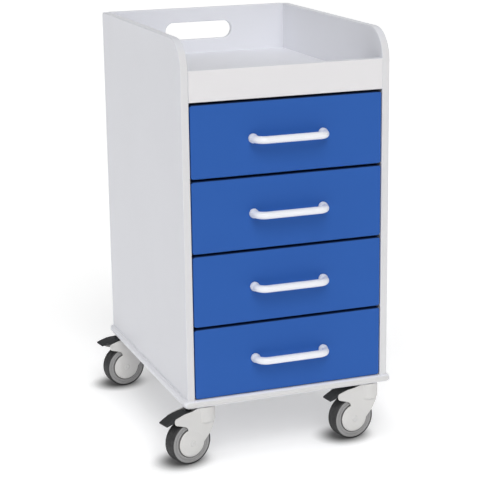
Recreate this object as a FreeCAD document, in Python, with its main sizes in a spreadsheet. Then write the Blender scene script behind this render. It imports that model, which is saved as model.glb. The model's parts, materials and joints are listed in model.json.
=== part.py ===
import FreeCAD, Part
import math
import os
import Sketcher
from FreeCAD import Vector, Rotation, Placement

# Mobile bedside cabinet: a welded plastic-sheet carcass with a recessed top
# tray, four drawers on three-piece telescopic slides and four braked swivel
# casters.  Units are millimetres.  +Z is up, the drawer fronts face -Y and the
# origin is the middle of the overall bounding box at floor level.

doc = FreeCAD.newDocument("bedside_cabinet")
sheet = doc.addObject("Spreadsheet::Sheet", "dims")


class Q:
    """A number that also remembers the spreadsheet expression it came from."""

    def __init__(self, v, e=None):
        self.v = float(v)
        self.e = e

    def text(self):
        return self.e if self.e is not None else repr(self.v)

    def _mix(self, o, v, sign, swap=False):
        o = q(o)
        if self.e is None and o.e is None:
            return Q(v)
        a, b = (o, self) if swap else (self, o)
        return Q(v, "(%s %s %s)" % (a.text(), sign, b.text()))

    def __add__(self, o):
        return self._mix(o, self.v + q(o).v, "+")

    def __radd__(self, o):
        return self._mix(o, q(o).v + self.v, "+", True)

    def __sub__(self, o):
        return self._mix(o, self.v - q(o).v, "-")

    def __rsub__(self, o):
        return self._mix(o, q(o).v - self.v, "-", True)

    def __mul__(self, o):
        return self._mix(o, self.v * q(o).v, "*")

    def __rmul__(self, o):
        return self._mix(o, q(o).v * self.v, "*", True)

    def __truediv__(self, o):
        return self._mix(o, self.v / q(o).v, "/")

    def __neg__(self):
        return self * -1


def q(x):
    return x if isinstance(x, Q) else Q(x)


rows = [0]


def cell(name, value, note):
    rows[0] += 1
    r = rows[0]
    sheet.set("A%d" % r, name)
    sheet.set("B%d" % r, repr(float(value)))
    sheet.set("C%d" % r, note)
    sheet.setAlias("B%d" % r, name)
    return Q(value, "dims." + name)


# ---- sizes -----------------------------------------------------------------
ctr_x = cell("ctr_x", 20.2749, "carcass centre to the right of the origin")
ctr_y = cell("ctr_y", 11.825, "carcass centre behind the origin")
cab_w = cell("cab_w", 355.6, "carcass width over the side panels")
cab_d = cell("cab_d", 444.5, "carcass depth")
cab_top = cell("cab_top", 694.4, "top of sides and back above the floor")
sheet_t = cell("sheet_t", 12.7, "carcass sheet thickness")
ease = cell("ease", 1.5, "eased edge radius on sheet parts")
top_arc = cell("top_arc", 50.8, "front top corner radius of the side panels")
rear_arc = cell("rear_arc", 6.35, "rear top corner radius of the side panels")
base_z = cell("base_z", 96.0, "underside of the base plate above the floor")
base_over = cell("base_over", 6.35, "base plate overhang beyond the carcass")
base_round = cell("base_round", 5.9, "bullnose radius of the base plate edge")
base_corner = cell("base_corner", 9.5, "plan corner radius of the base plate")
shelf_z = cell("shelf_z", 599.8, "underside of the tray shelf")
fascia_z = cell("fascia_z", 597.2, "bottom edge of the front fascia")
fascia_h = cell("fascia_h", 50.1, "height of the front fascia")
slot_len = cell("slot_len", 127.0, "length of the hand slot in the back panel")
slot_h = cell("slot_h", 31.75, "height of the hand slot")
slot_z = cell("slot_z", 653.0, "centre height of the hand slot")

drawer_pitch = cell("drawer_pitch", 121.8, "spacing of the drawers")
drawer_z = cell("drawer_z", 110.0, "bottom edge of the lowest drawer front")
front_h = cell("front_h", 118.2, "height of a drawer front")
front_gap = cell("front_gap", 1.6, "gap at each side of a drawer front")
front_t = cell("front_t", 12.7, "thickness of a drawer front")
front_r = cell("front_r", 4.0, "corner radius of a drawer front")
runner_t = cell("runner_t", 12.7, "space for a slide at each side")
box_len = cell("box_len", 400.0, "depth of a drawer box")
box_wall = cell("box_wall", 9.5, "drawer box wall thickness")
box_z = cell("box_z", 8.0, "drawer box above the lower edge of its front")
box_h = cell("box_h", 95.0, "drawer box height")
floor_z = cell("floor_z", 6.0, "drawer floor above the box's lower edge")
floor_t = cell("floor_t", 5.0, "drawer floor thickness")
groove = cell("groove", 4.0, "depth of the drawer floor groove")

pull_cc = cell("pull_cc", 120.0, "spacing of the pull's posts")
pull_out = cell("pull_out", 30.0, "projection of the pull")
pull_r = cell("pull_r", 6.0, "radius of the pull's bar")
pull_bend = cell("pull_bend", 15.0, "bend radius of the pull")
collar_r = cell("collar_r", 7.5, "radius of the pull's collars")
collar_t = cell("collar_t", 6.5, "thickness of the pull's collars")
screw_r = cell("screw_r", 2.0, "shank radius of the drawer screws")
screw_head_r = cell("screw_head_r", 4.0, "head radius of the drawer screws")
screw_head_t = cell("screw_head_t", 2.4, "head thickness of the drawer screws")

run_len = cell("run_len", 400.0, "length of a slide member")
run_z = cell("run_z", 50.0, "slide centre above the lower edge of the front")
run_gauge = cell("run_gauge", 1.4, "sheet gauge of the slide members")
out_h = cell("out_h", 45.0, "height of the fixed slide member")
out_d = cell("out_d", 10.0, "depth of the fixed slide member")
mid_x = cell("mid_x", 2.4, "middle member's web from the panel face")
mid_h = cell("mid_h", 36.0, "height of the middle slide member")
mid_d = cell("mid_d", 8.6, "depth of the middle slide member")
inn_h = cell("inn_h", 27.0, "height of the drawer slide member")
inn_d = cell("inn_d", 7.7, "depth of the drawer slide member")

trail = cell("trail", 30.4, "wheel axis behind the swivel axis")
wheel_r = cell("wheel_r", 37.5, "rolling radius")
core_r = cell("core_r", 34.5, "radius of the wheel under its tread")
wheel_w = cell("wheel_w", 22.8, "wheel width")
bore_r = cell("bore_r", 4.06, "wheel bore radius")
axle_r = cell("axle_r", 4.0, "axle radius")
cap_r = cell("cap_r", 5.6, "axle head radius")
cap_t = cell("cap_t", 0.9, "axle head thickness")
fork_w = cell("fork_w", 29.6, "width over the fork cheeks")
fork_gap = cell("fork_gap", 24.4, "space between the fork cheeks")
fork_top = cell("fork_top", 95.2, "top of the fork")
neck_r = cell("neck_r", 20.0, "radius of the fork's neck")
disc_r = cell("disc_r", 24.2, "radius of the fork's hub discs")
dome = cell("dome", 1.5, "rise of the hub discs at their middle")
well_r = cell("well_r", 40.5, "radius of the wheel well in the fork")
stem_r = cell("stem_r", 6.0, "stem radius")
stem_bore = cell("stem_bore", 6.06, "stem bore radius in the fork")
stem_z = cell("stem_z", 72.0, "lower end of the stem")
flange_r = cell("flange_r", 12.0, "radius of the stem's flange")
flange_t = cell("flange_t", 3.0, "thickness of the stem's flange")
nut_h = cell("nut_h", 5.6, "stem nut height")
nut_r = cell("nut_r", 10.4, "stem nut radius over its corners")
washer_r = cell("washer_r", 12.0, "stem washer radius")
washer_t = cell("washer_t", 1.5, "stem washer thickness")
sink = cell("sink", 7.7, "depth of the stem nut counterbores")
sink_r = cell("sink_r", 12.6, "radius of the stem nut counterbores")
pedal_w = cell("pedal_w", 23.2, "pedal width")
arm_w = cell("arm_w", 12.0, "width of the pedal's arm on its pivot")
lift = cell("lift", 11.0, "pedal raised by when the brake is off")
pin_in = cell("pin_in", 1.4, "reach of the pedal pivot into each cheek")
pin_x = cell("pin_x", -24.0, "pedal pivot from the swivel axis")
pin_z = cell("pin_z", 84.0, "pedal pivot above the floor")
pin_r = cell("pin_r", 3.0, "pedal pivot radius")
pin_bore = cell("pin_bore", 3.06, "pedal pivot bore radius in the fork")

corners = {
    "fl": (cell("fl_x", -146.6, "front left swivel axis from the middle"),
           cell("fl_y", -206.0, "front left swivel axis from mid-depth"),
           cell("fl_turn", 13.9, "front left heading in degrees")),
    "fr": (cell("fr_x", 146.6, "front right swivel axis from the middle"),
           cell("fr_y", -206.0, "front right swivel axis from mid-depth"),
           cell("fr_turn", 7.3, "front right heading in degrees")),
    "rl": (cell("rl_x", -138.4, "rear left swivel axis from the middle"),
           cell("rl_y", 196.1, "rear left swivel axis from mid-depth"),
           cell("rl_turn", 8.0, "rear left heading in degrees")),
    "rr": (cell("rr_x", 138.4, "rear right swivel axis from the middle"),
           cell("rr_y", 196.1, "rear right swivel axis from mid-depth"),
           cell("rr_turn", 12.0, "rear right heading in degrees")),
}
doc.recompute()

nodes = []


# ---- helpers ---------------------------------------------------------------
def bind(obj, prop, value):
    value = q(value)
    if value.e is not None:
        obj.setExpression(prop, value.e)


def place(obj, x, y, z, turn=None):
    x, y, z = q(x), q(y), q(z)
    rot = Rotation() if turn is None else Rotation(Vector(0, 0, 1), q(turn).v)
    obj.Placement = Placement(Vector(x.v, y.v, z.v), rot)
    bind(obj, "Placement.Base.x", x)
    bind(obj, "Placement.Base.y", y)
    bind(obj, "Placement.Base.z", z)
    if turn is not None:
        bind(obj, "Placement.Rotation.Angle", turn)


def new_body(label):
    b = doc.addObject("PartDesign::Body", label)
    b.Label = label
    nodes.append(b)
    return b


def plane(body, role):
    for f in body.Origin.OriginFeatures:
        if f.Role == role:
            return f
    raise RuntimeError(role)


def sketch(body, role, name, off=0, off_y=None):
    sk = body.newObject("Sketcher::SketchObject", name)
    sk.AttachmentSupport = [(plane(body, role), "")]
    sk.MapMode = "FlatFace"
    off = q(off)
    oy = q(0 if off_y is None else off_y)
    sk.AttachmentOffset = Placement(Vector(0, oy.v, off.v), Rotation())
    bind(sk, "AttachmentOffset.Base.z", off)
    bind(sk, "AttachmentOffset.Base.y", oy)
    return sk


def con(sk, kind, geo, pos, value):
    value = q(value)
    if pos is None:
        i = sk.addConstraint(Sketcher.Constraint(kind, geo, value.v))
    else:
        i = sk.addConstraint(Sketcher.Constraint(kind, geo, pos, value.v))
    if value.e is not None:
        sk.setExpression("Constraints[%d]" % i, value.e)


def poly(sk, pts):
    pts = [(q(a), q(b)) for a, b in pts]
    first = None
    n = len(pts)
    for i in range(n):
        a, b = pts[i], pts[(i + 1) % n]
        g = sk.addGeometry(Part.LineSegment(Vector(a[0].v, a[1].v, 0),
                                            Vector(b[0].v, b[1].v, 0)), False)
        if first is None:
            first = g
    for i in range(n):
        sk.addConstraint(Sketcher.Constraint("Coincident", first + i, 2,
                                             first + (i + 1) % n, 1))
    for i in range(n):
        con(sk, "DistanceX", first + i, 1, pts[i][0])
        con(sk, "DistanceY", first + i, 1, pts[i][1])
    return sk


def rect(sk, x0, y0, x1, y1):
    return poly(sk, [(x0, y0), (x1, y0), (x1, y1), (x0, y1)])


def circle(sk, cx, cy, r):
    cx, cy, r = q(cx), q(cy), q(r)
    g = sk.addGeometry(Part.Circle(Vector(cx.v, cy.v, 0), Vector(0, 0, 1), r.v),
                       False)
    con(sk, "DistanceX", g, 3, cx)
    con(sk, "DistanceY", g, 3, cy)
    con(sk, "Radius", g, None, r)
    return sk


def pad(body, sk, length, name, rev=False):
    f = body.newObject("PartDesign::Pad", name)
    f.Profile = sk
    f.Length = q(length).v
    bind(f, "Length", length)
    f.Reversed = rev
    body.Tip = f
    return f


def pocket(body, sk, length, name, rev=False):
    f = body.newObject("PartDesign::Pocket", name)
    f.Profile = sk
    f.Length = q(length).v
    bind(f, "Length", length)
    f.Reversed = rev
    body.Tip = f
    return f


def revolve(body, sk, name):
    f = body.newObject("PartDesign::Revolution", name)
    f.Profile = sk
    f.ReferenceAxis = (sk, ["H_Axis"])
    f.Angle = 360.0
    body.Tip = f
    return f


def dress(body, kind, base, pick, size, name):
    """Fillet or chamfer every edge of the feature for which pick is true."""
    doc.recompute()
    names = ["Edge%d" % (i + 1) for i, e in enumerate(base.Shape.Edges)
             if pick(e)]
    if not names:
        raise RuntimeError("no edges for " + name)
    f = body.newObject("PartDesign::" + kind, name)
    f.Base = (base, names)
    prop = "Radius" if kind == "Fillet" else "Size"
    setattr(f, prop, q(size).v)
    bind(f, prop, size)
    body.Tip = f
    return f


def near(a, b, tol=0.02):
    return abs(a - b) < tol


def along(axis):
    def test(e):
        if len(e.Vertexes) != 2:
            return False
        d = e.Vertexes[1].Point - e.Vertexes[0].Point
        ok = [abs(d.x), abs(d.y), abs(d.z)]
        return ok[axis] > 0.5 and sum(ok) - ok[axis] < 0.01
    return test


def box_of(e):
    return e.BoundBox


# ---- carcass ---------------------------------------------------------------
half_w = cab_w / 2
half_d = cab_d / 2
base_top = base_z + sheet_t
side_h = cab_top - base_top

for label, side in (("left_side_panel", -1), ("right_side_panel", 1)):
    b = new_body(label)
    sk = rect(sketch(b, "YZ_Plane", label + "_outline"),
              -half_d, 0, half_d, side_h)
    f = pad(b, sk, sheet_t, label + "_sheet")
    f = dress(b, "Fillet", f,
              lambda e: along(0)(e) and near(box_of(e).ZMin, side_h.v)
              and near(box_of(e).YMin, -half_d.v), top_arc, label + "_nose")
    f = dress(b, "Fillet", f,
              lambda e: along(0)(e) and near(box_of(e).ZMin, side_h.v)
              and near(box_of(e).YMin, half_d.v), rear_arc, label + "_heel")
    # ease the outer face all round and the inner face round the nose
    xo = 0.0 if side < 0 else sheet_t.v
    f = dress(b, "Fillet", f,
              lambda e: near(box_of(e).XMin, xo) and near(box_of(e).XMax, xo)
              and box_of(e).ZMax > 0.5, ease, label + "_ease")
    xi = sheet_t.v if side < 0 else 0.0
    f = dress(b, "Fillet", f,
              lambda e: near(box_of(e).XMin, xi) and near(box_of(e).XMax, xi)
              and box_of(e).ZMax > 0.5
              and not (near(box_of(e).YMin, half_d.v, 2)
                       and box_of(e).ZLength > 100),
              ease, label + "_ease_in")
    place(b, ctr_x + (-half_w if side < 0 else half_w - sheet_t), ctr_y,
          base_top)

b = new_body("back_panel")
sk = rect(sketch(b, "XZ_Plane", "back_outline"),
          sheet_t - half_w, 0, half_w - sheet_t, side_h)
f = pad(b, sk, sheet_t, "back_sheet")
sk = sketch(b, "XZ_Plane", "slot_middle", sheet_t)
rect(sk, (slot_h - slot_len) / 2, slot_z - base_top - slot_h / 2,
     (slot_len - slot_h) / 2, slot_z - base_top + slot_h / 2)
f = pocket(b, sk, sheet_t, "slot_middle_cut")
sk = sketch(b, "XZ_Plane", "slot_ends", sheet_t)
circle(sk, (slot_h - slot_len) / 2, slot_z - base_top, slot_h / 2)
circle(sk, (slot_len - slot_h) / 2, slot_z - base_top, slot_h / 2)
f = pocket(b, sk, sheet_t, "slot_ends_cut")
zt = side_h.v
f = dress(b, "Fillet", f,
          lambda e: (along(0)(e) and near(box_of(e).ZMin, zt))
          or (box_of(e).YLength < 0.01
              and abs(box_of(e).ZMin + box_of(e).ZMax
                      - 2 * (slot_z.v - base_top.v)) < 33
              and box_of(e).ZLength < 33
              and abs(box_of(e).XMin) < 64 and abs(box_of(e).XMax) < 64),
          ease, "back_ease")
place(b, ctr_x, ctr_y + half_d, base_top)

b = new_body("top_shelf")
sk = rect(sketch(b, "XY_Plane", "shelf_outline"),
          sheet_t - half_w, sheet_t - half_d, half_w - sheet_t,
          half_d - sheet_t)
pad(b, sk, sheet_t, "shelf_sheet")
place(b, ctr_x, ctr_y, shelf_z)

b = new_body("front_fascia")
sk = rect(sketch(b, "XZ_Plane", "fascia_outline"),
          sheet_t - half_w, 0, half_w - sheet_t, fascia_h)
f = pad(b, sk, sheet_t, "fascia_sheet")
f = dress(b, "Fillet", f,
          lambda e: along(0)(e)
          and (near(box_of(e).ZMin, fascia_h.v)
               or near(box_of(e).YMin, -sheet_t.v)), ease, "fascia_ease")
place(b, ctr_x, ctr_y - half_d + sheet_t, fascia_z)

b = new_body("base_plate")
sk = rect(sketch(b, "XY_Plane", "base_outline"),
          -half_w - base_over, -half_d - base_over,
          half_w + base_over, half_d + base_over)
f = pad(b, sk, sheet_t, "base_sheet")
f = dress(b, "Fillet", f, along(2), base_corner, "base_corners")
f = dress(b, "Fillet", f,
          lambda e: box_of(e).ZLength < 0.01, base_round, "base_bullnose")
sk = sketch(b, "XY_Plane", "stem_holes", sheet_t)
for key in ("fl", "fr", "rl", "rr"):
    circle(sk, corners[key][0], corners[key][1], stem_r)
pocket(b, sk, sheet_t, "stem_holes_cut")
sk = sketch(b, "XY_Plane", "stem_sinks", sheet_t)
for key in ("fl", "fr", "rl", "rr"):
    circle(sk, corners[key][0], corners[key][1], sink_r)
pocket(b, sk, sink, "stem_sinks_cut")
place(b, ctr_x, ctr_y, base_z)


# ---- drawer slides ---------------------------------------------------------
def channel(name, x0, depth, height, flip):
    """C section running back from the front plane; web at x0, legs to +x or,
    with flip, web at x0 and legs to -x.  Local z is 0 at mid-height."""
    sk = doc.addObject("Sketcher::SketchObject", name + "_section")
    s = -1 if flip else 1
    g = run_gauge
    x0 = q(x0)
    xa = x0 + depth * s
    xb = x0 + g * s
    top = height / 2
    poly(sk, [(x0, -top), (xa, -top), (xa, g - top), (xb, g - top),
              (xb, top - g), (xa, top - g), (xa, top), (x0, top)])
    sk.Placement = Placement(Vector(0, 0, 0), Rotation(Vector(1, 0, 0), 90))
    ex = doc.addObject("Part::Extrusion", name)
    ex.Base = sk
    ex.DirMode = "Custom"
    ex.Dir = Vector(0, 1, 0)
    ex.LengthFwd = run_len.v
    bind(ex, "LengthFwd", run_len)
    ex.Solid = True
    return ex


def group(label, parts):
    c = doc.addObject("Part::Compound", label)
    c.Label = label
    c.Links = parts
    nodes.append(c)
    return c


inside = half_w - sheet_t
run_y = ctr_y - half_d + front_t
drawer_levels = {1: 3, 2: 2, 3: 1, 4: 0}

fixed = []
for k in (1, 2, 3, 4):
    zc = drawer_z + drawer_pitch * drawer_levels[k] + run_z
    for tag, sgn in (("l", -1), ("r", 1)):
        ex = channel("fixed_slide_%d%s" % (k, tag), inside * sgn, out_d,
                     out_h, sgn > 0)
        place(ex, ctr_x, run_y, zc)
        ex.Placement = Placement(Vector(ctr_x.v, run_y.v, zc.v), Rotation())
        fixed.append(ex)
group("cabinet_slide_members", fixed)

# ---- drawers ---------------------------------------------------------------
front_w = cab_w - sheet_t * 2 - front_gap * 2
box_w = cab_w - sheet_t * 2 - runner_t * 2
half_box = box_w / 2
pull_z = front_h / 2
fix_x = cell("fix_x", 118.0, "drawer front fixing screws from the middle")
fix_lo = cell("fix_lo", 26.0, "lower fixing screws above the front's edge")
fix_hi = cell("fix_hi", 88.0, "upper fixing screws above the front's edge")
doc.recompute()


def screw(name, x, z, length):
    """Pan head screw; head against the inside of the drawer box's front wall,
    shank pointing to the front."""
    face = front_t + box_wall
    shank = doc.addObject("Part::Cylinder", name + "_shank")
    shank.Radius = screw_r.v
    bind(shank, "Radius", screw_r)
    shank.Height = q(length).v
    bind(shank, "Height", length)
    x, z = q(x), q(z)
    shank.Placement = Placement(Vector(x.v, face.v, z.v),
                                Rotation(Vector(1, 0, 0), 90))
    bind(shank, "Placement.Base.x", x)
    bind(shank, "Placement.Base.y", face)
    bind(shank, "Placement.Base.z", z)
    head = doc.addObject("Part::Cylinder", name + "_head")
    head.Radius = screw_head_r.v
    bind(head, "Radius", screw_head_r)
    head.Height = screw_head_t.v
    bind(head, "Height", screw_head_t)
    hy = face + screw_head_t
    head.Placement = Placement(Vector(x.v, hy.v, z.v),
                               Rotation(Vector(1, 0, 0), 90))
    bind(head, "Placement.Base.x", x)
    bind(head, "Placement.Base.y", hy)
    bind(head, "Placement.Base.z", z)
    fu = doc.addObject("Part::Fuse", name)
    fu.Base = head
    fu.Tool = shank
    return fu


for k in (1, 2, 3, 4):
    n = "drawer_%d" % k
    zk = drawer_z + drawer_pitch * drawer_levels[k]
    yk = ctr_y - half_d

    # front: sketched on the front plane, thickness to +y
    b = new_body(n + "_front")
    sk = rect(sketch(b, "XZ_Plane", n + "_front_outline"),
              -front_w / 2, 0, front_w / 2, front_h)
    f = pad(b, sk, front_t, n + "_front_sheet", True)
    f = dress(b, "Fillet", f, along(1), front_r, n + "_front_corners")
    f = dress(b, "Fillet", f,
              lambda e: box_of(e).YMax < 0.01, ease, n + "_front_ease")
    sk = sketch(b, "XZ_Plane", n + "_pull_holes")
    for sx in (-1, 1):
        circle(sk, pull_cc / 2 * sx, pull_z, screw_r)
    f = pocket(b, sk, front_t, n + "_pull_holes_cut")
    sk = sketch(b, "XZ_Plane", n + "_pilot_holes", -front_t)
    for sx in (-1, 1):
        for zz in (fix_lo, fix_hi):
            circle(sk, fix_x * sx, zz, screw_r)
    f = pocket(b, sk, 10.0, n + "_pilot_holes_cut", True)
    place(b, ctr_x, yk, zk)

    # pull: round bar swept along a D, with collars against the front
    b = new_body(n + "_handle")
    path = sketch(b, "XY_Plane", n + "_pull_path", 0)
    hx = pull_cc / 2
    yo = pull_r - pull_out
    yb = yo + pull_bend
    hv, yov, ybv, rv = hx.v, yo.v, yb.v, pull_bend.v
    g0 = path.addGeometry(Part.LineSegment(Vector(-hv, 0, 0),
                                           Vector(-hv, ybv, 0)), False)
    path.addGeometry(Part.ArcOfCircle(
        Part.Circle(Vector(-hv + rv, ybv, 0), Vector(0, 0, 1), rv),
        3.14159265358979, 4.71238898038469), False)
    path.addGeometry(Part.LineSegment(Vector(-hv + rv, yov, 0),
                                      Vector(hv - rv, yov, 0)), False)
    path.addGeometry(Part.ArcOfCircle(
        Part.Circle(Vector(hv - rv, ybv, 0), Vector(0, 0, 1), rv),
        4.71238898038469, 6.28318530717959), False)
    path.addGeometry(Part.LineSegment(Vector(hv, ybv, 0),
                                      Vector(hv, 0, 0)), False)
    for a, pa, c, pc in ((0, 2, 1, 1), (1, 2, 2, 1), (2, 2, 3, 1),
                         (3, 2, 4, 1)):
        path.addConstraint(Sketcher.Constraint("Coincident", g0 + a, pa,
                                               g0 + c, pc))
    con(path, "DistanceX", g0, 1, -hx)
    con(path, "DistanceY", g0, 1, 0)
    con(path, "DistanceX", g0, 2, -hx)
    con(path, "DistanceY", g0, 2, yb)
    con(path, "DistanceX", g0 + 2, 1, pull_bend - hx)
    con(path, "DistanceY", g0 + 2, 1, yo)
    con(path, "DistanceX", g0 + 2, 2, hx - pull_bend)
    con(path, "DistanceY", g0 + 2, 2, yo)
    con(path, "DistanceX", g0 + 4, 1, hx)
    con(path, "DistanceY", g0 + 4, 1, yb)
    con(path, "DistanceX", g0 + 4, 2, hx)
    con(path, "DistanceY", g0 + 4, 2, 0)
    con(path, "Radius", g0 + 1, None, pull_bend)
    con(path, "Radius", g0 + 3, None, pull_bend)
    prof = circle(sketch(b, "XZ_Plane", n + "_pull_section"), -hx, 0, pull_r)
    f = b.newObject("PartDesign::AdditivePipe", n + "_pull_bar")
    f.Profile = prof
    f.Spine = (path, ["Edge1", "Edge2", "Edge3", "Edge4", "Edge5"])
    b.Tip = f
    sk = sketch(b, "XZ_Plane", n + "_collars")
    for sx in (-1, 1):
        circle(sk, hx * sx, 0, collar_r)
    f = pad(b, sk, collar_t, n + "_collar_pad")
    f = dress(b, "Fillet", f,
              lambda e: near(box_of(e).YMin, -collar_t.v)
              and near(box_of(e).YMax, -collar_t.v)
              and near(box_of(e).ZLength, 2 * collar_r.v, 0.1), 1.2,
              n + "_collar_round")
    sk = sketch(b, "XZ_Plane", n + "_pull_threads")
    for sx in (-1, 1):
        circle(sk, hx * sx, 0, screw_r)
    f = pocket(b, sk, 12.0, n + "_pull_threads_cut", True)
    place(b, ctr_x, yk, zk + pull_z)

    # box walls with a groove for the floor
    b = new_body(n + "_box")
    sk = rect(sketch(b, "XY_Plane", n + "_box_outline"),
              -half_box, front_t, half_box, front_t + box_len)
    f = pad(b, sk, box_h, n + "_box_block")
    sk = rect(sketch(b, "XY_Plane", n + "_box_inside", box_h),
              box_wall - half_box, front_t + box_wall,
              half_box - box_wall, front_t + box_len - box_wall)
    f = pocket(b, sk, box_h, n + "_box_hollow")
    sk = rect(sketch(b, "XY_Plane", n + "_box_groove", floor_z + floor_t),
              box_wall - half_box - groove, front_t + box_wall - groove,
              half_box - box_wall + groove,
              front_t + box_len - box_wall + groove)
    f = pocket(b, sk, floor_t, n + "_box_groove_cut")
    sk = sketch(b, "XZ_Plane", n + "_box_screw_holes", -front_t)
    for sx in (-1, 1):
        circle(sk, pull_cc / 2 * sx, pull_z - box_z, screw_r)
        for zz in (fix_lo, fix_hi):
            circle(sk, fix_x * sx, zz - box_z, screw_r)
    f = pocket(b, sk, box_wall, n + "_box_screw_holes_cut")
    zt = box_h.v
    f = dress(b, "Fillet", f,
              lambda e: near(box_of(e).ZMin, zt) and near(box_of(e).ZMax, zt),
              ease, n + "_box_ease")
    place(b, ctr_x, yk, zk + box_z)

    b = new_body(n + "_bottom")
    sk = rect(sketch(b, "XY_Plane", n + "_bottom_outline"),
              box_wall - half_box - groove, front_t + box_wall - groove,
              half_box - box_wall + groove,
              front_t + box_len - box_wall + groove)
    pad(b, sk, floor_t, n + "_bottom_sheet")
    place(b, ctr_x, yk, zk + box_z + floor_z)

    parts = []
    for i, sx in enumerate((-1, 1)):
        parts.append(screw("%s_pull_screw_%d" % (n, i + 1),
                           pull_cc / 2 * sx, pull_z, front_t + box_wall + 10))
        for j, zz in enumerate((fix_lo, fix_hi)):
            parts.append(screw("%s_fixing_screw_%d" % (n, 2 * i + j + 1),
                               fix_x * sx, zz, box_wall + 9))
    c = group(n + "_screws", parts)
    place(c, ctr_x, yk, zk)

    mids, inns = [], []
    for tag, sgn in (("l", -1), ("r", 1)):
        mids.append(channel("%s_mid_%s" % (n, tag), (inside - mid_x) * sgn,
                            mid_d, mid_h, sgn > 0))
        inns.append(channel("%s_inner_%s" % (n, tag), half_box * sgn,
                            inn_d, inn_h, sgn < 0))
    c = group(n + "_middle_slides", mids)
    place(c, ctr_x, run_y, zk + run_z)
    c = group(n + "_inner_slides", inns)
    place(c, ctr_x, run_y, zk + run_z)

# ---- casters ---------------------------------------------------------------
# Each caster is drawn round its own swivel axis at floor level, the wheel
# trailing to -x, and then turned to its heading.
def ck(tag, x, z):
    return (cell("ck_%sx" % tag, x, "cheek outline"),
            cell("ck_%sz" % tag, z, "cheek outline"))


beak = [
    (cell("ck_ax", 13.0, "cheek outline"), fork_top),
    ck("b", 13.0, 65.0),
    ck("c", 3.5, 47.8),
    ck("d", -8.5, 34.8),
    ck("e", -30.4, 37.0),
    ck("f", -36.2, 57.5),
    ck("g", -39.8, 67.4),
    ck("h", -61.5, 74.5),
    ck("i", -64.0, 84.5),
    ck("j", -44.0, 90.2),
    ck("k", -28.0, 92.2),
    (cell("ck_lx", -18.5, "cheek outline"), fork_top),
]
# pedal outlines, from its pivot, with the brake on
pad_pts = [(-53.8, -7.2), (-44.5, -2.0), (-36.0, 2.0), (-28.4, 4.2),
           (-18.0, 6.2), (-10.0, 6.8), (-9.6, 2.5), (-12.5, -0.5),
           (-14.0, -9.0), (-22.0, -11.4), (-25.0, -3.2), (-28.0, -3.5),
           (-40.5, -6.5), (-53.0, -10.0)]
arm_pts = [(-13.0, 5.4), (-3.0, 4.6), (3.0, 3.6), (5.0, 0.0), (3.0, -3.6),
           (-3.0, -4.6), (-13.0, -0.6)]


def swung(pts, up):
    """Outline points about the pedal pivot, tip raised by the angle up."""
    out = []
    for dx, dz in pts:
        if up is None:
            out.append((pin_x + dx, pin_z + dz))
            continue
        c, s = math.cos(math.radians(up.v)), math.sin(math.radians(up.v))
        out.append((Q(pin_x.v + dx * c + dz * s,
                      "(%s + %r * cos(%s) + %r * sin(%s))"
                      % (pin_x.e, dx, up.e, dz, up.e)),
                    Q(pin_z.v - dx * s + dz * c,
                      "(%s - %r * sin(%s) + %r * cos(%s))"
                      % (pin_z.e, dx, up.e, dz, up.e))))
    return out


doc.recompute()


def at(e, x, z, tol=0.3):
    v = e.Vertexes[0].Point
    return along(1)(e) and near(v.x, x, tol) and near(v.z, z, tol)


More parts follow.
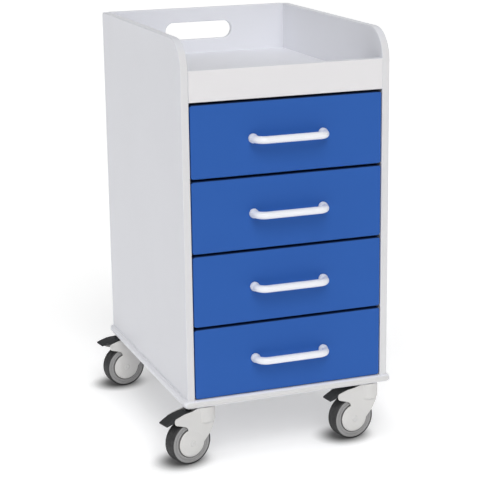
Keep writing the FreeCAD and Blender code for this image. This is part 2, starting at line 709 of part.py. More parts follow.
for key in ("fl", "fr", "rl", "rr"):
    n = "caster_" + key
    sx, sy, turn = corners[key]
    px, py = ctr_x + sx, ctr_y + sy

    # stem with its flange against the base plate
    b = new_body(n + "_mount")
    sk = circle(sketch(b, "XY_Plane", n + "_flange", base_z - flange_t),
                0, 0, flange_r)
    f = pad(b, sk, flange_t, n + "_flange_pad")
    f = dress(b, "Chamfer", f, lambda e: near(box_of(e).ZMax,
                                              base_z.v - flange_t.v),
              1.0, n + "_flange_edge")
    sk = circle(sketch(b, "XY_Plane", n + "_stem", stem_z), 0, 0, stem_r)
    f = pad(b, sk, base_top - 0.3 - stem_z, n + "_stem_pad")
    place(b, px, py, 0, turn)

    # fork: two cheeks and the neck
    b = new_body(n + "_fork")
    sk = poly(sketch(b, "XZ_Plane", n + "_cheek", -fork_w / 2), beak)
    f = pad(b, sk, fork_w, n + "_cheek_pad")
    f = dress(b, "Fillet", f, lambda e: at(e, beak[1][0].v, beak[1][1].v)
              or at(e, beak[2][0].v, beak[2][1].v),
              18.0, n + "_cheek_r1")
    f = dress(b, "Fillet", f, lambda e: at(e, beak[6][0].v, beak[6][1].v),
              8.0, n + "_cheek_r2")
    f = dress(b, "Fillet", f, lambda e: at(e, beak[7][0].v, beak[7][1].v)
              or at(e, beak[8][0].v, beak[8][1].v),
              5.5, n + "_cheek_r3")
    hf = fork_w / 2
    sk = sketch(b, "YZ_Plane", n + "_disc_section", -trail, wheel_r)
    poly(sk, [(-hf - dome, 0), (hf + dome, 0), (hf + dome, 7.0),
              (hf + dome * 0.75, 13.0), (hf, 20.0), (hf - 1.0, 22.6),
              (hf - 2.2, disc_r), (2.2 - hf, disc_r), (1.0 - hf, 22.6),
              (-hf, 20.0), (-hf - dome * 0.75, 13.0), (-hf - dome, 7.0)])
    f = revolve(b, sk, n + "_disc_turned")
    sk = circle(sketch(b, "XY_Plane", n + "_neck", 64.0), 0, 0, neck_r)
    f = pad(b, sk, fork_top - 64.0, n + "_neck_pad")
    f = dress(b, "Chamfer", f,
              lambda e: near(box_of(e).ZMin, 64.0) and near(box_of(e).ZMax, 64.0)
              and box_of(e).XMax > 15 and not along(0)(e), 6.0,
              n + "_neck_taper")
    sk = circle(sketch(b, "XZ_Plane", n + "_well", fork_gap / 2),
                -trail, wheel_r, well_r)
    f = pocket(b, sk, fork_gap, n + "_well_cut")
    sk = rect(sketch(b, "XZ_Plane", n + "_pedal_well", fork_gap / 2),
              -90.0, 45.0, -15.5, fork_top + 5)
    f = pocket(b, sk, fork_gap, n + "_pedal_well_cut")
    sk = circle(sketch(b, "XZ_Plane", n + "_axle_hole", hf + dome),
                -trail, wheel_r, axle_r)
    f = pocket(b, sk, fork_w + dome * 2, n + "_axle_hole_cut")
    sk = circle(sketch(b, "XZ_Plane", n + "_pin_hole",
                       fork_gap / 2 + pin_in + 0.2), pin_x, pin_z, pin_bore)
    f = pocket(b, sk, fork_gap + (pin_in + 0.2) * 2, n + "_pin_hole_cut")
    sk = circle(sketch(b, "XY_Plane", n + "_stem_bore", fork_top),
                0, 0, stem_bore)
    f = pocket(b, sk, fork_top - stem_z + 0.5, n + "_stem_bore_cut")
    sk = circle(sketch(b, "XY_Plane", n + "_flange_seat", fork_top),
                0, 0, flange_r + 0.4)
    f = pocket(b, sk, fork_top - base_z + flange_t + 0.3,
               n + "_flange_seat_cut")
    place(b, px, py, 0, turn)

    # wheel: hub, web and rim in one moulding
    hw = wheel_w / 2
    b = new_body(n + "_wheel")
    sk = sketch(b, "YZ_Plane", n + "_wheel_section", -trail, wheel_r)
    poly(sk, [(-hw, bore_r), (hw, bore_r), (hw, 9.5), (hw - 3, 10.5),
              (hw - 3, 24.5), (hw - 0.4, 25.5), (hw, 27.0), (hw, 29.0),
              (hw - 0.7, 29.4), (hw - 0.7, 30.0), (hw, 30.4),
              (hw, core_r), (-hw, core_r), (-hw, 30.4), (0.7 - hw, 30.0),
              (0.7 - hw, 29.4), (-hw, 29.0), (-hw, 27.0), (0.4 - hw, 25.5),
              (3 - hw, 24.5), (3 - hw, 10.5), (-hw, 9.5)])
    revolve(b, sk, n + "_wheel_turned")
    place(b, px, py, 0, turn)

    b = new_body(n + "_tyre")
    sk = sketch(b, "YZ_Plane", n + "_tyre_section", -trail, wheel_r)
    poly(sk, [(-hw, core_r), (hw, core_r), (hw, wheel_r - 2.4),
              (hw - 0.7, wheel_r - 0.9), (hw - 2.6, wheel_r),
              (2.6 - hw, wheel_r), (0.7 - hw, wheel_r - 0.9),
              (-hw, wheel_r - 2.4)])
    revolve(b, sk, n + "_tyre_turned")
    place(b, px, py, 0, turn)

    b = new_body(n + "_axle")
    ha = hf + dome
    sk = circle(sketch(b, "XZ_Plane", n + "_axle_rod", -ha - cap_t),
                -trail, wheel_r, axle_r)
    f = pad(b, sk, (ha + cap_t) * 2, n + "_axle_rod_pad")
    sk = circle(sketch(b, "XZ_Plane", n + "_axle_head_a", ha),
                -trail, wheel_r, cap_r)
    f = pad(b, sk, cap_t, n + "_axle_head_a_pad")
    sk = circle(sketch(b, "XZ_Plane", n + "_axle_head_b", -ha - cap_t),
                -trail, wheel_r, cap_r)
    f = pad(b, sk, cap_t, n + "_axle_head_b_pad")
    place(b, px, py, 0, turn)

    # brake pedal: pad reaching out between the cheeks with a shoe over the
    # tread; down (brake on) at the front, up (brake off) at the back
    up = lift if key in ("rl", "rr") else None
    b = new_body(n + "_pedal")
    sk = poly(sketch(b, "XZ_Plane", n + "_pedal_side", -pedal_w / 2),
              swung(pad_pts, up))
    f = pad(b, sk, pedal_w, n + "_pedal_plate")
    tips = [(a.v, c.v) for a, c in swung([pad_pts[0], pad_pts[-1]], up)]
    f = dress(b, "Fillet", f,
              lambda e: at(e, tips[0][0], tips[0][1])
              or at(e, tips[1][0], tips[1][1]), 1.2, n + "_pedal_lip")
    sk = poly(sketch(b, "XZ_Plane", n + "_pedal_arm", -arm_w / 2),
              swung(arm_pts, up))
    f = pad(b, sk, arm_w, n + "_pedal_arm_pad")
    sk = circle(sketch(b, "XZ_Plane", n + "_pedal_pin",
                       -fork_gap / 2 - pin_in), pin_x, pin_z, pin_r)
    f = pad(b, sk, fork_gap + pin_in * 2, n + "_pedal_pin_pad")
    place(b, px, py, 0, turn)

# stem nuts and washers sunk into the top of the base plate
parts = []
for key in ("fl", "fr", "rl", "rr"):
    sx, sy, turn = corners[key]
    px, py = ctr_x + sx, ctr_y + sy
    seat = base_top - sink
    for name, z0, h, r, hexed in (("washer", seat, washer_t, washer_r, 0),
                                  ("nut", seat + washer_t, nut_h, nut_r,
                                   1)):
        label = "stem_%s_%s" % (name, key)
        if hexed:
            outer = doc.addObject("Part::Prism", label + "_blank")
            outer.Polygon = 6
            outer.Circumradius = r.v
            bind(outer, "Circumradius", r)
        else:
            outer = doc.addObject("Part::Cylinder", label + "_blank")
            outer.Radius = r.v
            bind(outer, "Radius", r)
        outer.Height = h.v
        bind(outer, "Height", h)
        place(outer, px, py, z0)
        hole = doc.addObject("Part::Cylinder", label + "_hole")
        hole.Radius = stem_r.v
        bind(hole, "Radius", stem_r)
        hole.Height = h.v
        bind(hole, "Height", h)
        place(hole, px, py, z0)
        cut = doc.addObject("Part::Cut", label)
        cut.Base = outer
        cut.Tool = hole
        parts.append(cut)
group("caster_stem_nuts", parts)

doc.recompute()

# ---- checks and export -----------------------------------------------------
bad = []
for o in doc.Objects:
    state = [s for s in o.State if s in ("Invalid", "Error")]
    if state:
        bad.append("%s %s" % (o.Label, state))
for o in nodes:
    s = o.Shape
    if s.isNull() or not s.isValid() or not s.Solids:
        bad.append(o.Label + " has no valid solid")
if bad:
    raise RuntimeError("; ".join(bad))

os.makedirs("parts", exist_ok=True)
for old in os.listdir("parts"):
    if old.endswith(".step"):
        os.remove(os.path.join("parts", old))
lo = [1e9] * 3
hi = [-1e9] * 3
for o in nodes:
    o.Shape.exportStep("parts/" + o.Label + ".step")
    bb = o.Shape.BoundBox
    lo = [min(a, c) for a, c in zip(lo, (bb.XMin, bb.YMin, bb.ZMin))]
    hi = [max(a, c) for a, c in zip(hi, (bb.XMax, bb.YMax, bb.ZMax))]
print("nodes", len(nodes))
print("low", [round(v, 3) for v in lo], "high", [round(v, 3) for v in hi])
print("middle", [round((a + c) / 2, 4) for a, c in zip(lo, hi)])
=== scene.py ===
import json
import math
import bpy
import bmesh
from mathutils import Matrix, Vector


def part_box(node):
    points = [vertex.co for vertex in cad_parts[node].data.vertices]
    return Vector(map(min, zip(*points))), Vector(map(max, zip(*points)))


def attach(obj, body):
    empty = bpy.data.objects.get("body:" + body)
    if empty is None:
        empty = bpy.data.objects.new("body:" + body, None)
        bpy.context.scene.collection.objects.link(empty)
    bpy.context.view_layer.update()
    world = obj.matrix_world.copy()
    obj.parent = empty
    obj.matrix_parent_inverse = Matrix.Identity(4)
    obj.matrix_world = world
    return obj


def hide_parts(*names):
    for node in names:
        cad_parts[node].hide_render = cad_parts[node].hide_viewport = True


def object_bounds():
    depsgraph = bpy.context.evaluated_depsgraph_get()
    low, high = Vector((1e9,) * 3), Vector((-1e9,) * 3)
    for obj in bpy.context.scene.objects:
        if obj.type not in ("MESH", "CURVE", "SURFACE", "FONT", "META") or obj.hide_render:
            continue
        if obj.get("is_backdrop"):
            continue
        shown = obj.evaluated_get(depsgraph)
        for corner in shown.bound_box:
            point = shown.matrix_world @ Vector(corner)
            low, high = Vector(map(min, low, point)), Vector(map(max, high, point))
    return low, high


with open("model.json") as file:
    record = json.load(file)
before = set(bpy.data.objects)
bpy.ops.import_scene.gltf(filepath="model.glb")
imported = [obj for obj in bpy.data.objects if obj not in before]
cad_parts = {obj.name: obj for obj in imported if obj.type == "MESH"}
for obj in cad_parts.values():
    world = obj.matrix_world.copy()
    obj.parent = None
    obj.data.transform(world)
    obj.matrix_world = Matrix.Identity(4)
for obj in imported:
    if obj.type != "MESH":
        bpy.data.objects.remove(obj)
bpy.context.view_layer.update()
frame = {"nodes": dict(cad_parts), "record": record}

nodes = frame["nodes"]
scene = bpy.context.scene

# ---------------------------------------------------------------- placement
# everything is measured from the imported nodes
side_lo, side_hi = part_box("left_side_panel")
right_lo, right_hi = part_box("right_side_panel")
base_lo, base_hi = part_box("base_plate")
cab_lo = Vector((side_lo.x, side_lo.y, side_lo.z))
cab_hi = Vector((right_hi.x, right_hi.y, right_hi.z))
mid_x = (cab_lo.x + cab_hi.x) / 2


# ---------------------------------------------------------------- camera
def aim(azimuth, elevation, roll):
    a, e, r = (math.radians(v) for v in (azimuth, elevation, roll))
    back = Vector((math.sin(a) * math.cos(e), -math.cos(a) * math.cos(e),
                   math.sin(e)))
    x = Vector((0, 0, 1)).cross(back).normalized()
    y = back.cross(x)
    x2 = math.cos(r) * x + math.sin(r) * y
    y2 = -math.sin(r) * x + math.cos(r) * y
    return Matrix((x2, y2, back)).transposed()


cam_data = bpy.data.cameras.new("camera")
cam = bpy.data.objects.new("camera", cam_data)
scene.collection.objects.link(cam)
cam_data.sensor_width = 36.0
cam_data.lens = 1557.91 / 480.0 * 36.0
cam_data.clip_start, cam_data.clip_end = 0.05, 60.0
cam.matrix_world = (Matrix.Translation(Vector((cab_lo.x - 0.73299,
                                               cab_lo.y - 2.2665,
                                               cab_lo.z + 0.8943)))
                    @ aim(-20.05, 14.69, -0.8).to_4x4())
scene.camera = cam


# ---------------------------------------------------------------- shading
def tree(name):
    m = bpy.data.materials.new(name)
    m.use_nodes = True
    nt = m.node_tree
    nt.nodes.clear()
    out = nt.nodes.new("ShaderNodeOutputMaterial")
    bsdf = nt.nodes.new("ShaderNodeBsdfPrincipled")
    nt.links.new(bsdf.outputs[0], out.inputs[0])
    co = nt.nodes.new("ShaderNodeTexCoord")
    return m, nt, bsdf, co.outputs["Object"]


def noise(nt, co, scale, detail=2.0, rough=0.5, stretch=None):
    if stretch is not None:
        mp = nt.nodes.new("ShaderNodeMapping")
        mp.inputs["Scale"].default_value = stretch
        nt.links.new(co, mp.inputs["Vector"])
        co = mp.outputs[0]
    n = nt.nodes.new("ShaderNodeTexNoise")
    n.inputs["Scale"].default_value = scale
    n.inputs["Detail"].default_value = detail
    n.inputs["Roughness"].default_value = rough
    nt.links.new(co, n.inputs["Vector"])
    return n.outputs["Fac"]


def ramp(nt, fac, a, b, p0=0.3, p1=0.7):
    r = nt.nodes.new("ShaderNodeValToRGB")
    r.color_ramp.elements[0].position = p0
    r.color_ramp.elements[1].position = p1
    r.color_ramp.elements[0].color = (*a, 1)
    r.color_ramp.elements[1].color = (*b, 1)
    nt.links.new(fac, r.inputs[0])
    return r.outputs[0]


def bump(nt, height, strength, distance, below=None):
    b = nt.nodes.new("ShaderNodeBump")
    b.inputs["Strength"].default_value = strength
    b.inputs["Distance"].default_value = distance
    nt.links.new(height, b.inputs["Height"])
    if below is not None:
        nt.links.new(below, b.inputs["Normal"])
    return b.outputs[0]


def spread(nt, fac, lo, hi):
    m = nt.nodes.new("ShaderNodeMapRange")
    m.inputs["From Min"].default_value = 0.3
    m.inputs["From Max"].default_value = 0.7
    m.inputs["To Min"].default_value = lo
    m.inputs["To Max"].default_value = hi
    nt.links.new(fac, m.inputs["Value"])
    return m.outputs[0]


def plastic(name, colour, rough=0.45, vary=0.015, grain=900.0, grain_h=0.00004,
            grain_s=0.35, spec=0.5, wave=14.0, wave_h=0.0, facing_shade=None):
    """The last argument: (normal axis, sign, tint, mask start, mask end) of a painted
    shade on the surfaces that face one way, or None.
    """
    m, nt, bsdf, co = tree(name)
    cloud = noise(nt, co, wave, 3.0)
    lo = tuple(c * (1 - vary) for c in colour)
    hi = tuple(min(1.0, c * (1 + vary)) for c in colour)
    shade = ramp(nt, cloud, lo, hi)
    # painted shade: surfaces whose normal points the given way are multiplied by the tint
    if facing_shade is not None:
        geo = nt.nodes.new("ShaderNodeNewGeometry")
        sep = nt.nodes.new("ShaderNodeSeparateXYZ")
        nt.links.new(geo.outputs["Normal"], sep.inputs[0])
        mask = nt.nodes.new("ShaderNodeMapRange")
        mask.interpolation_type = "SMOOTHSTEP"
        mask.inputs["From Min"].default_value = facing_shade[3] * facing_shade[1]
        mask.inputs["From Max"].default_value = facing_shade[4] * facing_shade[1]
        nt.links.new(sep.outputs[facing_shade[0]], mask.inputs["Value"])
        mix = nt.nodes.new("ShaderNodeMix")
        mix.data_type = "RGBA"
        mix.blend_type = "MULTIPLY"
        nt.links.new(mask.outputs[0], mix.inputs[0])
        nt.links.new(shade, mix.inputs[6])
        mix.inputs[7].default_value = (*facing_shade[2], 1)
        shade = mix.outputs[2]
    nt.links.new(shade, bsdf.inputs["Base Color"])
    fine = noise(nt, co, grain, 2.0, 0.6)
    nt.links.new(spread(nt, fine, rough - 0.05, rough + 0.05),
                 bsdf.inputs["Roughness"])
    bsdf.inputs["Specular IOR Level"].default_value = spec
    n = bump(nt, fine, grain_s, grain_h)
    if wave_h:
        n = bump(nt, noise(nt, co, wave, 2.0), 0.5, wave_h, n)
    nt.links.new(n, bsdf.inputs["Normal"])
    return m


def metal(name, colour, rough=0.32, stretch=(1, 1, 1)):
    m, nt, bsdf, co = tree(name)
    streak = noise(nt, co, 260.0, 3.0, 0.6, stretch)
    lo = tuple(c * 0.92 for c in colour)
    nt.links.new(ramp(nt, streak, lo, colour), bsdf.inputs["Base Color"])
    nt.links.new(spread(nt, streak, rough - 0.06, rough + 0.08),
                 bsdf.inputs["Roughness"])
    bsdf.inputs["Metallic"].default_value = 1.0
    nt.links.new(bump(nt, streak, 0.15, 0.00002), bsdf.inputs["Normal"])
    return m


white = plastic("sheet_white", (0.735, 0.742, 0.783), 0.42, 0.008, 700.0,
                0.00005, 0.30, 0.45, 9.0, 0.00006)
# side panels: the white sheet with a darker, warmer painted shade on the surfaces that
# face the front
white_shade_on_front = plastic("sheet_white_shade_on_front", (0.735, 0.742, 0.783), 0.42, 0.008,
                      700.0, 0.00005, 0.30, 0.45, 9.0, 0.00006,
                      (1, -1, (0.915, 0.902, 0.868), 0.55, 0.95))
# base plate: the white sheet painted lighter all over, a painted light, with a darker,
# warmer painted shade on its front-facing surfaces
base_white_painted_light = plastic("sheet_base_white_painted_light", (0.805, 0.810, 0.850), 0.42, 0.008,
                     700.0, 0.00005, 0.30, 0.45, 9.0, 0.00006,
                     (1, -1, (0.810, 0.800, 0.755), 0.55, 0.95))
# fascia: the white sheet with a warmer, slightly darker painted shade on its front-facing
# surfaces
white_front = plastic("sheet_white_front", (0.735, 0.742, 0.783), 0.42, 0.008,
                      700.0, 0.00005, 0.30, 0.45, 9.0, 0.00006,
                      (1, -1, (1.0, 0.975, 0.935), 0.55, 0.95))
# drawer fronts: their upward-facing surfaces are painted near black, a painted shade that
# darkens the gaps between the fronts
blue = plastic("sheet_blue", (0.0245, 0.104, 0.392), 0.50, 0.012, 700.0,
               0.00005, 0.30, 0.14, 9.0, 0.00006,
               (2, 1, (0.24, 0.20, 0.18), 0.12, 0.50))
box_white = plastic("sheet_box", (0.70, 0.71, 0.73), 0.5, 0.01, 700.0,
                    0.00004, 0.3, 0.4)
pull_white = plastic("moulded_white", (0.84, 0.85, 0.89), 0.30, 0.006, 1500.0,
                     0.00001, 0.2, 0.5)
shell = plastic("moulded_grey", (0.635, 0.627, 0.612), 0.42, 0.012, 1800.0,
                0.00001, 0.25, 0.45)
rim = plastic("rim_grey", (0.300, 0.297, 0.296), 0.45, 0.03, 1200.0, 0.00002,
              0.3, 0.35)
pedal_black = plastic("pedal_black", (0.032, 0.034, 0.035), 0.62, 0.16, 1500.0,
                      0.00010, 0.9, 0.22)
zinc = metal("zinc", (0.62, 0.63, 0.65), 0.34, (1, 0.05, 1))
steel = metal("steel", (0.58, 0.59, 0.61), 0.3)
cap = plastic("cap_grey", (0.62, 0.612, 0.60), 0.36, 0.012, 1800.0, 0.00001,
              0.25, 0.45)


def rubber(name):
    """Dark rubber: a fine grain and a soft mottling over the tread."""
    m, nt, bsdf, co = tree(name)
    grain = noise(nt, co, 1100.0, 3.0, 0.65)
    mottle = noise(nt, co, 130.0, 2.0)
    mix = nt.nodes.new("ShaderNodeMath")
    mix.operation = "MULTIPLY_ADD"
    mix.inputs[1].default_value = 0.45
    nt.links.new(grain, mix.inputs[0])
    half = nt.nodes.new("ShaderNodeMath")
    half.operation = "MULTIPLY"
    half.inputs[1].default_value = 0.55
    nt.links.new(mottle, half.inputs[0])
    nt.links.new(half.outputs[0], mix.inputs[2])
    nt.links.new(ramp(nt, mix.outputs[0], (0.029, 0.029, 0.030),
                      (0.050, 0.050, 0.051), 0.38, 0.62),
                 bsdf.inputs["Base Color"])
    nt.links.new(spread(nt, grain, 0.55, 0.72), bsdf.inputs["Roughness"])
    bsdf.inputs["Specular IOR Level"].default_value = 0.28
    nt.links.new(bump(nt, grain, 0.6, 0.00006), bsdf.inputs["Normal"])
    return m


tread = rubber("tread_dark")

by_slot = {"carcass_white": white, "drawer_blue": blue, "box_white": box_white,
           "pull_white": pull_white, "slide_zinc": zinc, "screw_zinc": steel,
           "shell_grey": shell, "rim_grey": rim, "tread_dark": tread,
           "pedal_black": pedal_black, "stem_steel": steel, "axle_cap": cap}
slot_of = {s["node"]: s["material_slot"] for s in frame["record"]["subparts"]}
for name, o in nodes.items():
    m = by_slot[slot_of[name]]
    # side panels, base plate and fascia take copies of the white sheet with painted shade
    # on their front-facing surfaces; the base plate's copy is also painted lighter
    if name in ("left_side_panel", "right_side_panel"):
        m = white_shade_on_front
    if name == "base_plate":
        m = base_white_painted_light
    if name == "front_fascia":
        m = white_front
    if not o.data.materials:
        o.data.materials.append(m)
    for i in range(len(o.data.materials)):
        o.data.materials[i] = m


# ---------------------------------------------------------------- pieces
def piece(name, verts, faces, node, body, sharp=32):
    """A mesh that stands for one CAD node and rides on its body."""
    me = bpy.data.meshes.new(name)
    me.from_pydata([tuple(v) for v in verts], [], faces)
    bm = bmesh.new()
    bm.from_mesh(me)
    bmesh.ops.recalc_face_normals(bm, faces=bm.faces)
    bm.to_mesh(me)
    bm.free()
    me.shade_smooth()
    me.set_sharp_from_angle(angle=math.radians(sharp))
    o = bpy.data.objects.new(name, me)
    scene.collection.objects.link(o)
    me.materials.append(by_slot[slot_of[node]])
    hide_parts(node)
    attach(o, body)
    return o


def lathe(profile, centre, axis, seg=112):
    """Rings of the closed (offset along the axis, radius) profile; points at
    radius 0 are single vertices."""
    axis = Vector(axis).normalized()
    up = Vector((0, 0, 1))
    side = axis.cross(up).normalized()
    verts, rings, faces = [], [], []
    for o, r in profile:
        base = centre + axis * o
        if r == 0:
            rings.append([len(verts)] * seg)
            verts.append(base)
            continue
        rings.append(list(range(len(verts), len(verts) + seg)))
        for i in range(seg):
            a = 2 * math.pi * i / seg
            verts.append(base + (side * math.cos(a) + up * math.sin(a)) * r)
    closed = profile[0][1] != 0
    n = len(rings)
    for k in range(n if closed else n - 1):
        p, q = rings[k], rings[(k + 1) % n]
        for i in range(seg):
            j = (i + 1) % seg
            f = []
            for v in (p[i], p[j], q[j], q[i]):
                if v not in f:
                    f.append(v)
            if len(f) > 2:
                faces.append(f)
    return verts, faces


MM = 0.001
joints = {j["name"]: j for j in frame["record"]["behaviour"]["joints"]}

# casters: turned wheels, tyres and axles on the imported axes; forks and pedals
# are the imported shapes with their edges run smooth
for key in ("fl", "fr", "rl", "rr"):
    n = "caster_" + key
    spin = joints[n + "_wheel_spin"]
    axis = Vector(spin["axis"])
    lo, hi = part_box(n + "_tyre")
    centre = (lo + hi) / 2
    R = (hi.z - lo.z) / 2
    wlo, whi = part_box(n + "_wheel")
    core = (whi.z - wlo.z) / 2
    hw = 11.4 * MM
    half = [(0, 4.06), (0, 9.2), (-0.4, 9.9), (-3.0, 10.8), (-3.3, 11.4),
            (-3.3, 23.4), (-3.0, 24.1), (-0.6, 25.0), (-0.15, 25.4),
            (0, 26.0), (0, 28.9), (-0.12, 29.15), (-0.75, 29.3),
            (-0.75, 29.75), (-0.12, 29.9), (0, 30.15), (0, 33.6),
            (-0.15, 34.1), (-0.5, core / MM)]
    prof = ([(hw + o * MM, r * MM) for o, r in half]
            + [(-hw - o * MM, r * MM) for o, r in reversed(half)])
    v, f = lathe(prof, centre, axis)
    piece(n + "_wheel_turned", v, f, n + "_wheel", n + "_roller")
    t = R / MM
    half = [(-0.45, core / MM), (-0.1, core / MM + 0.1),
            (0, core / MM + 0.35), (0, t - 2.2), (-0.12, t - 1.5),
            (-0.5, t - 0.85), (-1.2, t - 0.35), (-2.2, t - 0.08), (-3.2, t),
            (-6.0, t), (-6.15, t - 0.35), (-6.65, t - 0.35), (-6.8, t)]
    prof = ([(hw + o * MM, r * MM) for o, r in half]
            + [(-hw - o * MM, r * MM) for o, r in reversed(half)])
    v, f = lathe(prof, centre, axis)
    piece(n + "_tyre_turned", v, f, n + "_tyre", n + "_roller")
    half = [(16.75, 0), (16.78, 0.9), (17.1, 1.5), (17.2, 2.0), (17.2, 3.4),
            (17.05, 4.3), (16.7, 5.1), (16.3, 5.5), (15.7, 5.5), (15.7, 4.0)]
    prof = ([(o * MM, r * MM) for o, r in half]
            + [(-o * MM, r * MM) for o, r in reversed(half)])
    v, f = lathe(prof, centre, axis, 64)
    piece(n + "_axle_turned", v, f, n + "_axle", n + "_swivel", 50)
    for part, size, steps in (("fork", 0.55, 18), ("pedal", 0.34, 4)):
        o = nodes[n + "_" + part]
        r = o.modifiers.new("skin", "REMESH")
        r.mode = "VOXEL"
        r.voxel_size = size * MM
        r.use_smooth_shade = True
        c = o.modifiers.new("soften", "SMOOTH")
        c.factor = 0.5
        c.iterations = steps

# pulls: a bar swept round its bends, flaring into a rounded foot at each end
for k in (1, 2, 3, 4):
    node = "drawer_%d_handle" % k
    lo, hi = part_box(node)
    foot, bar, bend = 7.5, 6.0, 15.0
    hx = (hi.x - lo.x) / 2 / MM - foot
    out = (hi.y - lo.y) / MM - bar
    track = [(-hx, -d, r) for d, r in (
        (0, 7.1), (0.25, 7.45), (0.8, 7.7), (2.2, 7.75), (4.2, 7.7),
        (5.4, 7.5), (6.6, 7.15), (7.8, 6.7), (8.9, 6.25), (9.8, 6.0))]
    for i in range(0, 17):
        a = math.pi / 2 * i / 16
        track.append((-hx + bend - bend * math.cos(a),
                      -(out - bend) - bend * math.sin(a), bar))
    for i in range(1, 12):
        track.append((-hx + bend + (2 * hx - 2 * bend) * i / 12, -out, bar))
    track += [(-x, y, r) for x, y, r in reversed(track[:27])]
    SEG = 40
    verts, faces = [], []
    mid = Vector(((lo.x + hi.x) / 2, hi.y, (lo.z + hi.z) / 2))
    for i, (x, y, r) in enumerate(track):
        a = Vector((track[max(i - 1, 0)][0], track[max(i - 1, 0)][1], 0))
        b = Vector((track[min(i + 1, len(track) - 1)][0],
                    track[min(i + 1, len(track) - 1)][1], 0))
        d = (b - a).normalized()
        w = Vector((-d.y, d.x, 0))
        for j in range(SEG):
            t = 2 * math.pi * j / SEG
            verts.append(mid + (Vector((x, y, 0)) + w * (r * math.cos(t))
                                + Vector((0, 0, r * math.sin(t)))) * MM)
    for i in range(len(track) - 1):
        for j in range(SEG):
            j2 = (j + 1) % SEG
            faces.append((i * SEG + j, i * SEG + j2, (i + 1) * SEG + j2,
                          (i + 1) * SEG + j))
    faces.append(tuple(range(SEG)))
    last = (len(track) - 1) * SEG
    faces.append(tuple(range(last + SEG - 1, last - 1, -1)))
    piece("drawer_%d_pull" % k, verts, faces, node, "drawer_%d" % k, 60)

# ---------------------------------------------------------------- floor with painted shadows, light
me = bpy.data.meshes.new("floor")
S = 30.0
me.from_pydata([(-S, -S, 0), (S, -S, 0), (S, S, 0), (-S, S, 0)], [],
               [(0, 1, 2, 3)])
floor = bpy.data.objects.new("floor", me)
scene.collection.objects.link(floor)
floor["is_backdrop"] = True
m, nt, bsdf, co = tree("floor_pale")


def calc(op, a, b=None, clamp=False):
    n = nt.nodes.new("ShaderNodeMath")
    n.operation = op
    n.use_clamp = clamp
    for i, v in enumerate((a, b)):
        if v is None:
            continue
        if isinstance(v, (int, float)):
            n.inputs[i].default_value = v
        else:
            nt.links.new(v, n.inputs[i])
    return n.outputs[0]


def fall(v, start, end, top=1.0, kind="SMOOTHSTEP"):
    """From top at start down to 0 at end."""
    n = nt.nodes.new("ShaderNodeMapRange")
    n.interpolation_type = kind
    n.inputs["From Min"].default_value = start
    n.inputs["From Max"].default_value = end
    n.inputs["To Min"].default_value = top
    n.inputs["To Max"].default_value = 0.0
    nt.links.new(v, n.inputs["Value"])
    return n.outputs[0]


# painted shadow under the cabinet: a soft box under the base plate darkens the floor's
# colour and its glow
xyz = nt.nodes.new("ShaderNodeSeparateXYZ")
nt.links.new(co, xyz.inputs[0])
fx = fall(calc("ABSOLUTE", calc("SUBTRACT", xyz.outputs[0],
                                (base_lo.x + base_hi.x) / 2)),
          (base_hi.x - base_lo.x) / 2 - 0.055, (base_hi.x - base_lo.x) / 2 + 0.075)
fy = calc("MULTIPLY",
          fall(calc("MULTIPLY", xyz.outputs[1], -1.0),
               -base_lo.y - 0.09, -base_lo.y + 0.065),
          fall(xyz.outputs[1], base_hi.y - 0.05, base_hi.y + 0.12))
shade = calc("SUBTRACT", 1.0, calc("MULTIPLY", calc("MULTIPLY", fx, fy), 0.275))
# painted contact shadows: a soft dark spot on the floor round each wheel, riding with its
# fork, darkens colour and glow
for key in ("fl", "fr", "rl", "rr"):
    lo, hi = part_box("caster_%s_tyre" % key)
    spot = Vector(((lo.x + hi.x) / 2 - 0.008, (lo.y + hi.y) / 2 + 0.010, 0))
    along = Vector(joints["caster_%s_wheel_spin" % key]["axis"])
    heading = Vector((-along.y, along.x, 0))
    ride_co = nt.nodes.new("ShaderNodeTexCoord")
    ride_co.object = nodes["caster_%s_fork" % key]
    sub = nt.nodes.new("ShaderNodeVectorMath")
    sub.operation = "SUBTRACT"
    sub.inputs[1].default_value = spot
    nt.links.new(ride_co.outputs["Object"], sub.inputs[0])
    ds = []
    for vec, size in ((heading, 0.047), (along, 0.042)):
        dot = nt.nodes.new("ShaderNodeVectorMath")
        dot.operation = "DOT_PRODUCT"
        dot.inputs[1].default_value = vec / size
        nt.links.new(sub.outputs[0], dot.inputs[0])
        ds.append(calc("POWER", calc("ABSOLUTE", dot.outputs["Value"]), 2.0))
    d = calc("SQRT", calc("ADD", ds[0], ds[1]))
    shade = calc("MULTIPLY", shade,
                 calc("SUBTRACT", 1.0, fall(d, 0.30, 1.32, 0.86)))
tint = nt.nodes.new("ShaderNodeMix")
tint.data_type = "RGBA"
tint.inputs[6].default_value = (0.0, 0.0, 0.0, 1)
tint.inputs[7].default_value = (0.88, 0.88, 0.88, 1)
nt.links.new(shade, tint.inputs[0])
nt.links.new(tint.outputs[2], bsdf.inputs["Base Color"])
bsdf.inputs["Roughness"].default_value = 0.9
bsdf.inputs["Specular IOR Level"].default_value = 0.0
bsdf.inputs["Emission Color"].default_value = (1, 1, 1, 1)
nt.links.new(calc("MULTIPLY", shade, 0.37), bsdf.inputs["Emission Strength"])
me.materials.append(m)

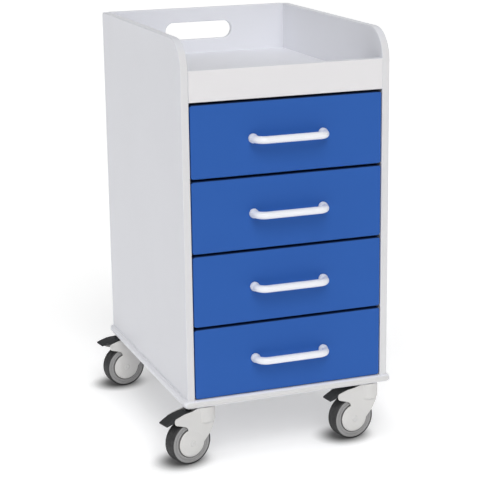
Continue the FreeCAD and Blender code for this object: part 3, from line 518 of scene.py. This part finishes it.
# a pale backdrop behind the horizon, for low views; it lights nothing
me = bpy.data.meshes.new("backdrop")
bm = bmesh.new()
bmesh.ops.create_uvsphere(bm, u_segments=48, v_segments=24, radius=22.0)
bm.to_mesh(me)
bm.free()
me.shade_smooth()
backdrop = bpy.data.objects.new("backdrop", me)
scene.collection.objects.link(backdrop)
backdrop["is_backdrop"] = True
for ray in ("diffuse", "glossy", "transmission", "volume_scatter", "shadow"):
    setattr(backdrop, "visible_" + ray, False)
m, nt, bsdf, co = tree("backdrop_pale")
cloud = noise(nt, co, 0.05, 1.0)
nt.links.new(ramp(nt, cloud, (0.985, 0.985, 0.99), (1, 1, 1)),
             bsdf.inputs["Emission Color"])
bsdf.inputs["Emission Strength"].default_value = 1.0
bsdf.inputs["Base Color"].default_value = (0, 0, 0, 1)
bsdf.inputs["Specular IOR Level"].default_value = 0.0
me.materials.append(m)

world = bpy.data.worlds.new("world")
world.use_nodes = True
world.node_tree.nodes["Background"].inputs[0].default_value = (1, 1, 1, 1)
world.node_tree.nodes["Background"].inputs[1].default_value = 0.28
scene.world = world


def sun(name, azimuth, elevation, strength, angle):
    d = bpy.data.lights.new(name, "SUN")
    d.energy = strength
    d.angle = math.radians(angle)
    o = bpy.data.objects.new(name, d)
    scene.collection.objects.link(o)
    a, e = math.radians(azimuth), math.radians(elevation)
    back = Vector((math.sin(a) * math.cos(e), -math.cos(a) * math.cos(e),
                   math.sin(e)))
    o.rotation_mode = "QUATERNION"
    o.rotation_quaternion = back.to_track_quat("Z", "Y")
    return o


sun("key", -10, 44, 1.60, 40)
sun("left", -70, 35, 0.36, 50)
sun("top", -60, 72, 0.08, 40)
sun("fill", 140, 28, 0.38, 60)


def soft(name, place, target, width, height, power, angle):
    """A narrow softbox that the camera doesn't see."""
    d = bpy.data.lights.new(name, "AREA")
    d.shape = "RECTANGLE"
    d.size, d.size_y = width, height
    d.energy = power
    d.spread = math.radians(angle)
    o = bpy.data.objects.new(name, d)
    scene.collection.objects.link(o)
    o.visible_camera = False
    o.visible_glossy = False
    o.location = place
    o.rotation_mode = "QUATERNION"
    o.rotation_quaternion = (place - target).to_track_quat("Z", "Y")
    return o


top_z = side_hi.z
soft("tray_left", Vector((mid_x - 0.90, 0.0, top_z + 0.46)),
     Vector((right_lo.x, 0.02, top_z - 0.055)), 0.42, 0.09, 0.032, 14)
soft("tray_front", Vector((mid_x, side_lo.y - 0.70, top_z + 0.46)),
     Vector((mid_x, side_hi.y - 0.01, top_z - 0.045)), 0.34, 0.09, 0.022, 14)
scene.view_settings.view_transform = "Standard"
scene.view_settings.look = "None"

# ---------------------------------------------------------------- bounds of the shown objects
lo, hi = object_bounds()
